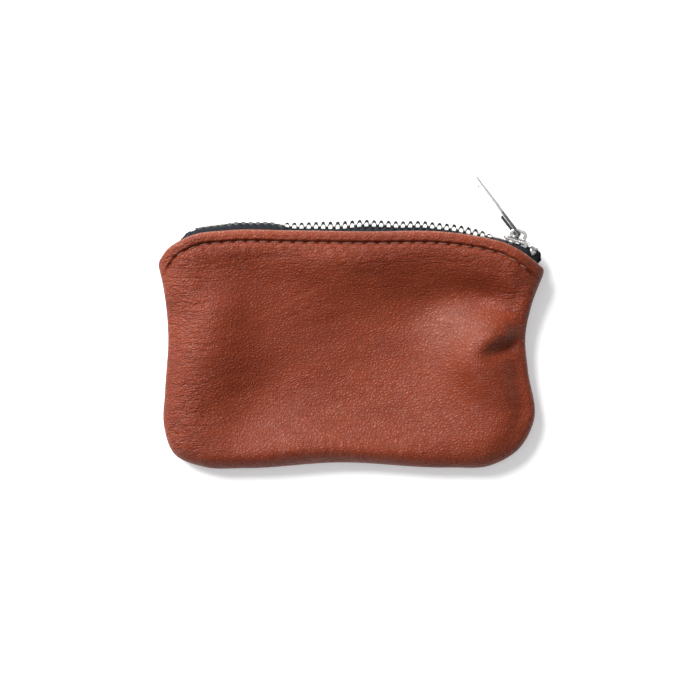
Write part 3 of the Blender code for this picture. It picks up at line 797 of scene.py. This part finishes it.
def make_stop(name, s, low, high, material):
    """A crimped stop: a rounded metal band with a pressed waist."""
    bm = bmesh.new()
    half = (STOP_LENGTH / 2, 1.0, (high - low) / 2, 1.0)
    bmesh.ops.create_cube(bm, size=2.0, matrix=Matrix.Diagonal(half))
    bmesh.ops.bevel(bm, geom=bm.edges[:], offset=0.22, segments=3, affect="EDGES")
    long = [e for e in bm.edges if e.calc_length() > 0.5]
    bmesh.ops.subdivide_edges(bm, edges=long, cuts=3, use_grid_fill=True)
    vertices, faces = drained(bm)
    waist = 1 - 0.16 * bell(vertices[:, 0], 0.35)
    middle = (low + high) / 2
    places = on_chain(s + vertices[:, 0], vertices[:, 1] * waist, middle + vertices[:, 2] * waist)
    mesh = mesh_from(name, places, faces)
    # painted shade on the stop's sideways faces
    keep_painted_side_shade(mesh)
    return add_object(name, mesh, material)


# --- slider and pull ---
def slider_frame():
    """The slider's own axes: X along the zip, Y out of the mouth, Z across the rows."""
    x, y, heading = zip_at(ZIP_LENGTH)
    place = Matrix.Translation(Vector((x, y, ZIP_MIDDLE)) * MM)
    return place @ Matrix.Rotation(heading - SLIDER_TILT, 4, "Z")


def pull_frame():
    """The pull's own axes: X along the tab, Y along its bar, Z through it."""
    bar_height = PLATE_INNER + PLATE + BRIDGE_OPENING / 2
    hinge = slider_frame() @ Vector((0.0, bar_height * MM, 0.0))
    turn = Matrix.Rotation(PULL_HEADING, 4, "Z") @ Matrix.Rotation(PULL_DIP, 4, "Y")
    return Matrix.Translation(hinge) @ turn @ Matrix.Rotation(
        math.radians(90) + PULL_TWIST, 4, "X"
    )


def plate_mesh(name, loops, thickness, bevel):
    """A flat plate with rounded edges, centred on Z = 0; the first loop is its outline."""
    curve = bpy.data.curves.new(name, "CURVE")
    curve.dimensions = "2D"
    curve.fill_mode = "BOTH"
    curve.extrude = (thickness / 2 - bevel) * MM
    curve.bevel_depth = bevel * MM
    curve.bevel_resolution = 3
    curve.offset = -bevel * MM
    for loop in loops:
        spline = curve.splines.new("POLY")
        spline.points.add(len(loop) - 1)
        for point, (x, y) in zip(spline.points, loop):
            point.co = (x * MM, y * MM, 0.0, 1.0)
        spline.use_cyclic_u = True
    mesh = baked(put_in_scene(name + "_sketch", curve))
    bpy.data.curves.remove(curve)
    bm = bmesh.new()
    bm.from_mesh(mesh)
    bmesh.ops.remove_doubles(bm, verts=bm.verts, dist=0.003 * MM)
    bmesh.ops.recalc_face_normals(bm, faces=bm.faces)
    bm.to_mesh(mesh)
    bm.free()
    mesh.materials.clear()
    return mesh


def fuse(name, meshes, voxel, rounds):
    """Parts that overlap become one smooth casting."""
    bm = bmesh.new()
    for mesh in meshes:
        bm.from_mesh(mesh)
        bpy.data.meshes.remove(mesh)
    whole = bpy.data.meshes.new(name)
    bm.to_mesh(whole)
    bm.free()
    obj = put_in_scene(name, whole)
    obj.modifiers.new("casting", "REMESH").voxel_size = voxel * MM
    obj.modifiers.new("softened", "SMOOTH").iterations = rounds
    mesh = baked(obj)
    bpy.data.meshes.remove(whole)
    return mesh


def arch(half, top, radius, foot):
    """One outline of the bridge, from its left foot over the top to its right foot."""
    points = [(-half, foot)]
    for k in range(9):
        turn = math.radians(90 * k / 8)
        points.append((-half + radius * (1 - math.cos(turn)), top - radius * (1 - math.sin(turn))))
    return points + mirrored(points, across_x=True)


def make_slider(material):
    """Two plates joined by a wedge, with side flanges and a bridge for the pull."""
    lying = Matrix.Rotation(math.radians(-90), 4, "X")
    plan = [
        (-4.05, 0.9), (-3.75, 1.85), (-3.2, 2.42), (-2.0, 2.55), (0.6, 2.62), (2.2, 3.05),
        (3.3, 2.95), (3.85, 2.35), (4.05, 1.3),
    ]
    plan += mirrored(plan)
    ridge = [(x * 0.72, z * 0.62) for x, z in plan]
    parts = []
    for sign in (1, -1):
        for loop, thick, level in ((plan, PLATE, 0.0), (ridge, 0.5, 0.42)):
            mesh = plate_mesh("slider_plate", [loop], thick, 0.16)
            height = PLATE_INNER + PLATE / 2 + level * (1 if sign > 0 else 0.35)
            mesh.transform(Matrix.Translation((0.0, sign * height * MM, 0.0)) @ lying)
            parts.append(mesh)
    wedge = [(0.9, 0.0), (2.2, 0.85), (3.4, 0.75), (3.8, 0.0), (3.4, -0.75), (2.2, -0.85)]
    post = plate_mesh("slider_post", [wedge], 2 * PLATE_INNER + 0.5, 0.1)
    post.transform(lying)
    parts.append(post)
    flange = [(1.4, 2.58), (2.4, 2.98), (3.2, 2.95), (3.2, 2.55), (2.4, 2.5), (1.4, 2.28)]
    for loop in (mirrored(flange), flange):
        for level in (-1, 1):
            low, high = sorted((level * 0.5, level * (PLATE_INNER + 0.35)))
            mesh = plate_mesh("slider_flange", [loop], high - low, 0.06)
            mesh.transform(Matrix.Translation((0.0, (low + high) / 2 * MM, 0.0)) @ lying)
            parts.append(mesh)
    foot = PLATE_INNER + PLATE - 0.3
    top = PLATE_INNER + PLATE + BRIDGE_OPENING
    outer = arch(BRIDGE_INSIDE + BRIDGE_WALL + 0.25, top + BRIDGE_WALL + 0.1, 1.5, foot)
    inner = arch(BRIDGE_INSIDE, top, 0.75, foot)
    bridge = plate_mesh("slider_bridge", [outer + inner[::-1]], 1.5, 0.2)
    parts.append(bridge)
    mesh = fuse("slider_casting", parts, 0.075, 3)
    mesh.transform(slider_frame() @ Matrix.Rotation(SLIDER_ROLL, 4, "X"))
    keep_rest(mesh)
    # painted shade on the slider's sideways faces
    keep_painted_side_shade(mesh)
    return add_object("slider_casting", mesh, material)


def circle(x, y, radius, count):
    turns = [2 * math.pi * k / count for k in range(count)]
    return [(x + radius * math.cos(turn), y + radius * math.sin(turn)) for turn in turns]


def rounded_loop(corners, radius):
    """A closed loop through the corners, each rounded off."""
    loop, count = [], 6
    for i, corner in enumerate(corners):
        here = Vector(corner)
        before = (Vector(corners[i - 1]) - here).normalized() * radius
        after = (Vector(corners[(i + 1) % len(corners)]) - here).normalized() * radius
        for k in range(count + 1):
            t = k / count
            point = here + before * (1 - t) ** 2 + after * t**2
            loop.append((point.x, point.y))
    return loop


def make_pull(material):
    """A stamped tab with a window, whose end bar passes through the slider's bridge."""
    tip = PULL_LENGTH - PULL_TIP
    half = [(-PULL_BAR, -PULL_NEAR + 0.35), (-PULL_BAR + 0.35, -PULL_NEAR), (8.0, -PULL_NEAR)]
    half += [(8.8, -PULL_NEAR - 0.06), (10.2, -PULL_FAR + 0.08), (11.2, -PULL_FAR)]
    half += [(tip, -PULL_FAR)]
    turns = [math.radians(a) for a in range(-75, 76, 15)]
    end = [(tip + PULL_TIP * math.cos(turn), PULL_FAR * math.sin(turn)) for turn in turns]
    outline = half + end + mirrored(half)
    window = rounded_loop([
        (PULL_BAR, -WINDOW_HALF), (WINDOW_END, -WINDOW_HALF), (WINDOW_END, WINDOW_HALF),
        (PULL_BAR, WINDOW_HALF),
    ], 0.5)
    hole = circle(HOLE_AT, 0.0, HOLE_RADIUS, 32)
    mesh = plate_mesh("pull_plate", [outline, window, hole], PULL_THICK, 0.2)
    along = read_vectors(mesh.vertices, "co")[:, 0] / MM
    level = np.abs(read_vectors(mesh.vertices, "normal")[:, 2])
    # Painted shade on the pull's sideways faces, from the bar end to just past the window.
    near = 1 - ease((along - WINDOW_END) / 1.5)
    keep_value(mesh, "painted_shade", near * ease((0.9 - level) / 0.3))
    mesh.transform(pull_frame())
    keep_rest(mesh)
    obj = add_object("pull_plate", mesh, material)
    obj.data.set_sharp_from_angle(angle=math.radians(35))
    return obj


# --- materials ---
class Finish:
    """A material built node by node on one Principled shader."""

    def __init__(self, name, **values):
        self.material = bpy.data.materials.new(name)
        self.material.use_nodes = True
        self.tree = self.material.node_tree
        self.shader = self.tree.nodes["Principled BSDF"]
        for key, value in values.items():
            self.shader.inputs[key.replace("_", " ")].default_value = value

    def node(self, kind, feeds, **settings):
        made = self.tree.nodes.new("ShaderNode" + kind)
        for key, value in settings.items():
            setattr(made, key, value)
        for key, value in feeds.items():
            if isinstance(value, bpy.types.NodeSocket):
                self.tree.links.new(value, made.inputs[key])
            else:
                made.inputs[key].default_value = value
        return made

    def attribute(self, name, output="Fac"):
        return self.node("Attribute", {}, attribute_name=name).outputs[output]

    def maths(self, operation, a, b=0.0, clamp=False):
        return self.node("Math", {0: a, 1: b}, operation=operation, use_clamp=clamp).outputs[0]

    def plus(self, a, b):
        return self.maths("ADD", a, b)

    def minus(self, a, b):
        return self.maths("SUBTRACT", a, b)

    def times(self, a, b):
        return self.maths("MULTIPLY", a, b)

    def fitted(self, value, low, high, to_low=0.0, to_high=1.0):
        feeds = {"Value": value, "From Min": low, "From Max": high}
        feeds.update({"To Min": to_low, "To Max": to_high})
        return self.node("MapRange", feeds, interpolation_type="SMOOTHSTEP").outputs[0]

    def placed(self, vector, turn=0.0, scale=(1.0, 1.0, 1.0)):
        feeds = {"Vector": vector, "Rotation": (0.0, 0.0, math.radians(turn)), "Scale": scale}
        return self.node("Mapping", feeds).outputs[0]

    def noise(self, vector, scale, detail=2.0, output=0, roughness=0.5):
        feeds = {"Vector": vector, "Scale": scale, "Detail": detail, "Roughness": roughness}
        return self.node("TexNoise", feeds).outputs[output]

    def cells(self, vector, scale):
        feeds = {"Vector": vector, "Scale": scale}
        return self.node("TexVoronoi", feeds, feature="DISTANCE_TO_EDGE").outputs[0]

    def waves(self, vector, turn):
        feeds = {"Vector": self.placed(vector, turn), "Scale": 1.1, "Distortion": 0.4}
        return self.node("TexWave", feeds).outputs[1]

    def warped(self, vector, scale, amount):
        """The coordinates pushed about by noise, so that no pattern looks drawn."""
        push = self.noise(vector, scale, 2.0, output=1)
        push = self.vector("SUBTRACT", {0: push, 1: (0.5, 0.5, 0.5)})
        push = self.vector("SCALE", {0: push, "Scale": amount})
        return self.vector("ADD", {0: vector, 1: push})

    def vector(self, operation, feeds):
        return self.node("VectorMath", feeds, operation=operation).outputs[0]

    def mix(self, factor, a, b):
        return self.node("Mix", {0: factor, 6: a, 7: b}, data_type="RGBA").outputs[2]

    def bump(self, height, depth_mm):
        return self.node("Bump", {"Height": height, "Distance": depth_mm * MM}).outputs[0]

    def feed(self, **sockets):
        for key, socket in sockets.items():
            self.tree.links.new(socket, self.shader.inputs[key.replace("_", " ")])
        return self.material


LEATHER_DEEP = (0.070, 0.009, 0.003, 1.0)
LEATHER_MID = (0.178, 0.025, 0.007, 1.0)
LEATHER_PALE = (0.222, 0.037, 0.012, 1.0)
# pale tone: wear at the mouth's rim, and a painted highlight there, on the bulge and on the lower
# band
LEATHER_WEAR_AND_HIGHLIGHT = (0.37, 0.17, 0.12, 1.0)
SUEDE = (0.15, 0.07, 0.042, 1.0)


def leather_finish():
    f = Finish("leather_grain", Roughness=0.5, Specular_IOR_Level=0.27)
    rest = f.attribute("rest", "Vector")
    loose = f.warped(rest, 0.22, 2.2)
    close = f.warped(loose, 1.3, 0.45)
    pebble = f.fitted(f.cells(f.placed(close, 20, (0.9, 1.12, 1.0)), 1.12), 0.0, 0.34)
    small = f.fitted(f.cells(f.placed(close, 33, (0.9, 1.1, 1.0)), 2.1), 0.0, 0.34)
    swirl = f.noise(f.placed(loose, -17, (0.055, 0.42, 0.3)), 1.0, 3.0)
    crease = f.fitted(f.maths("ABSOLUTE", f.minus(swirl, 0.5)), 0.0, 0.07)
    tight = f.noise(f.placed(loose, -21, (0.2, 1.1, 0.8)), 1.0, 2.0)
    wrinkle = f.fitted(f.maths("ABSOLUTE", f.minus(tight, 0.5)), 0.0, 0.09)
    mottle = f.noise(f.placed(rest, 10, (0.05, 0.09, 0.07)), 1.0, 4.0, roughness=0.6)
    pores = f.noise(close, 5.0, 2.0)
    inside, wrinkled = f.attribute("inside"), f.attribute("wrinkled")

    depth = f.plus(f.times(pebble, 0.6), f.times(small, 0.2))
    lines = f.plus(f.times(crease, 0.7), f.times(wrinkle, 0.45))
    depth = f.plus(depth, f.times(lines, wrinkled))
    depth = f.plus(depth, f.times(pores, 0.10))

    colour = f.mix(f.fitted(mottle, 0.3, 0.7), LEATHER_MID, LEATHER_PALE)
    valleys = f.times(f.minus(1.0, pebble), 0.33)
    colour = f.mix(valleys, colour, LEATHER_DEEP)
    lines = f.times(f.minus(1.0, crease), 0.3)
    colour = f.mix(f.times(lines, wrinkled), colour, LEATHER_DEEP)
    # painted shade in the stitches' groove
    colour = f.mix(f.times(f.attribute("groove"), 0.75), colour, LEATHER_DEEP)
    # wear and painted highlight on the raised pebbles
    wear_and_highlight_tops = f.times(f.attribute("wear_and_highlight"), f.fitted(pebble, 0.2, 0.9, 0.3, 1.0))
    colour = f.mix(f.times(wear_and_highlight_tops, 0.68), colour, LEATHER_WEAR_AND_HIGHLIGHT)
    colour = f.mix(inside, colour, SUEDE)
    rough = f.fitted(mottle, 0.3, 0.7, 0.50, 0.42)
    rough = f.maths("ADD", rough, f.times(inside, 0.4), clamp=True)
    normal = f.bump(depth, 0.155)
    return f.feed(Base_Color=colour, Roughness=rough, Normal=normal)


def tape_finish():
    f = Finish("navy_weave", Roughness=0.9, Specular_IOR_Level=0.03)
    weave = f.attribute("weave", "Vector")
    yarn = f.maths("MAXIMUM", f.waves(weave, 32), f.waves(weave, -58))
    fuzz = f.noise(f.attribute("rest", "Vector"), 9.0, 2.0)
    height = f.plus(yarn, f.times(fuzz, 0.4))
    shade = f.fitted(yarn, 0.15, 0.95)
    colour = f.mix(shade, (0.002, 0.002, 0.003, 1.0), (0.034, 0.038, 0.046, 1.0))
    colour = f.mix(f.times(fuzz, 0.25), colour, (0.050, 0.052, 0.056, 1.0))
    return f.feed(Base_Color=colour, Normal=f.bump(height, 0.12))


def metal_finish(name, colour, dark, rough_low, rough_high, scratch):
    """Plated metal, cloudy and finely scratched, and painted darker where a shade mask is stored.
    """
    f = Finish(name, Metallic=1.0)
    rest = f.attribute("rest", "Vector")
    cloud = f.noise(rest, 0.9, 4.0, roughness=0.6)
    lines = f.noise(f.placed(rest, 24, (0.5, 9.0, 3.0)), 1.0, 3.0)
    rough = f.fitted(f.times(f.plus(cloud, lines), 0.5), 0.3, 0.7,
                     rough_low, rough_high)
    tint = f.mix(f.fitted(cloud, 0.35, 0.75), colour, dark)
    # painted shade: the stored mask darkens the metal towards near-black grey
    tint = f.mix(f.times(f.attribute("painted_shade"), 0.9), tint, (0.06, 0.06, 0.062, 1))
    height = f.plus(f.times(lines, scratch), f.noise(rest, 1.4, 2.0))
    return f.feed(Base_Color=tint, Roughness=rough, Normal=f.bump(height, 0.012))


def thread_finish():
    f = Finish("thread_yarn", Roughness=0.7, Specular_IOR_Level=0.4, Sheen_Weight=0.3)
    rest = f.attribute("rest", "Vector")
    fibres = f.noise(f.placed(rest, 0, (4.0, 9.0, 9.0)), 1.0, 3.0)
    colour = f.mix(fibres, (0.08, 0.018, 0.010, 1.0), (0.26, 0.085, 0.05, 1.0))
    return f.feed(Base_Color=colour, Normal=f.bump(fibres, 0.05))


# --- assembly ---
leather = leather_finish()
weave = tape_finish()
tooth_metal = metal_finish(
    "nickel_teeth", (0.90, 0.89, 0.87, 1), (0.74, 0.73, 0.71, 1), 0.22, 0.4, 0.6)
slider_metal = metal_finish(
    "nickel_slider", (0.84, 0.83, 0.81, 1), (0.66, 0.65, 0.64, 1), 0.12, 0.24, 0.5)
pull_metal = metal_finish(
    "nickel_pull", (0.97, 0.96, 0.95, 1), (0.88, 0.87, 0.86, 1), 0.24, 0.38, 0.5)
stop_metal = metal_finish(
    "nickel_stop", (0.84, 0.83, 0.81, 1), (0.66, 0.65, 0.63, 1), 0.24, 0.42, 0.8)
yarn = thread_finish()

fold_run = np.subtract(BEND_RIGHT, BEND_LEFT)
fold_run = fold_run / np.linalg.norm(fold_run)

# each stop's middle lies this far past the slider's place, clear of the rows' ends
beyond = ROW_OVERRUN + STOP_GAP + STOP_LENGTH / 2
closed_end = ZIP_LENGTH + beyond

pieces = [       # the mesh, the body that it rides or bends with, its slot and its CAD nodes
    (make_panel("front_leather", front_height, LIP_PATH, 1, leather, 0.55),
     "front_mouth", "leather", "front_panel", "front_lip"),
    (make_tape("front_tape", 1, weave), "front_mouth", "zipper_tape", "front_zipper_tape"),
    (make_teeth("front_teeth", 1, 0.0, tooth_metal), "front_mouth", "teeth", "front_tooth_row"),
    (make_stop("front_stop", closed_end, 1.2, 2.3, stop_metal),
     "front_mouth", "stops", "front_top_stop"),
    (make_topstitch("front_stitches", front_height, LIP_PATH, 1, yarn),
     "front_mouth", "thread", "front_topstitch"),
    (make_panel("back_leather", back_height, MOUTH_PATH, -1, leather, 0.8),
     "pouch", "leather", "back_panel"),
    (make_tape("back_tape", -1, weave), "pouch", "zipper_tape", "back_zipper_tape"),
    (make_teeth("back_teeth", -1, 0.5, tooth_metal), "pouch", "teeth", "back_tooth_row"),
    (make_stop("back_stop", closed_end, -2.3, -1.2, stop_metal),
     "pouch", "stops", "back_top_stop"),
    (make_stop("end_stop", -beyond, -2.2, 2.2, stop_metal), "pouch", "stops", "bottom_stop"),
    (make_topstitch("back_stitches", back_height, MOUTH_PATH, -1, yarn),
     "pouch", "thread", "back_topstitch"),
    (make_seam_thread("seam_stitches", yarn), "pouch", "thread", "perimeter_seam"),
    (make_slider(slider_metal), "slider", "slider_metal", "slider_body"),
    (make_pull(pull_metal), "pull", "pull_metal", "pull_tab"),
]
for piece, body, slot, *nodes in pieces:
    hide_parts(*nodes)
    if body == "front_mouth":
        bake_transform(piece)
    else:
        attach(piece, body)


# --- table, light and camera, in metres ---
TABLE_HALF = 3.0
CAMERA_AT = (-0.0021, 0.0010, 0.906)    # straight above, as the photograph was taken
SENSOR, FOCUS_DISTANCE, VIEW_WIDTH = 36.0, 0.9, 0.2045      # the view's width at that distance


def table_finish():
    f = Finish("pale_table", Roughness=0.65, Specular_IOR_Level=0.2, Emission_Strength=0.32)
    f.shader.inputs["Emission Color"].default_value = (0.97, 0.985, 1.0, 1.0)
    cloud = f.noise(f.node("TexCoord", {}).outputs["Object"], 9.0, 3.0)
    return f.feed(Base_Color=f.mix(cloud, (0.90, 0.90, 0.905, 1), (0.93, 0.93, 0.93, 1)))


def make_table():
    mesh = bpy.data.meshes.new("table")
    corners = [(-1, -1, 0), (1, -1, 0), (1, 1, 0), (-1, 1, 0)]
    mesh.from_pydata([Vector(corner) * TABLE_HALF for corner in corners], [], [(0, 1, 2, 3)])
    mesh.materials.append(table_finish())
    table = put_in_scene("table", mesh)


def make_lamp(name, place, aim, size, watts, colour):
    lamp = bpy.data.lights.new(name, "AREA")
    lamp.shape = "DISK"
    lamp.size = size
    lamp.energy = watts
    lamp.color = colour
    obj = put_in_scene(name, lamp)
    obj.location = place
    obj.rotation_euler = (Vector(aim) - Vector(place)).to_track_quat("-Z", "Y").to_euler()


def make_world():
    """A studio that is bright overhead and nearly dark towards its walls."""
    world = bpy.data.worlds.new("studio")
    world.use_nodes = True
    tree = world.node_tree
    coords = tree.nodes.new("ShaderNodeTexCoord")
    split = tree.nodes.new("ShaderNodeSeparateXYZ")
    ramp = tree.nodes.new("ShaderNodeMapRange")
    for key, value in (("From Min", 0.4), ("From Max", 1.0), ("To Min", 0.02), ("To Max", 0.66)):
        ramp.inputs[key].default_value = value
    tree.links.new(coords.outputs["Generated"], split.inputs[0])
    tree.links.new(split.outputs["Z"], ramp.inputs["Value"])
    background = tree.nodes["Background"]
    background.inputs["Color"].default_value = (0.95, 0.975, 1.0, 1.0)
    tree.links.new(ramp.outputs[0], background.inputs["Strength"])
    bpy.context.scene.world = world


def make_camera():
    lens = bpy.data.cameras.new("camera")
    lens.sensor_width = SENSOR
    lens.lens = SENSOR * FOCUS_DISTANCE / VIEW_WIDTH
    lens.clip_start, lens.clip_end = 0.01, 20.0
    camera = put_in_scene("camera", lens)
    camera.location = CAMERA_AT
    bpy.context.scene.camera = camera


make_table()
make_lamp("key", (-0.62, 0.66, 0.70), (0, 0, 0), 0.72, 30.5, (1.0, 0.985, 0.96))
make_lamp("overhead", (0.0, 0.0, 1.3), (0, 0, 0), 0.3, 0.3, (1.0, 1.0, 1.0))
make_world()
make_camera()
bpy.context.scene.view_settings.view_transform = "Standard"
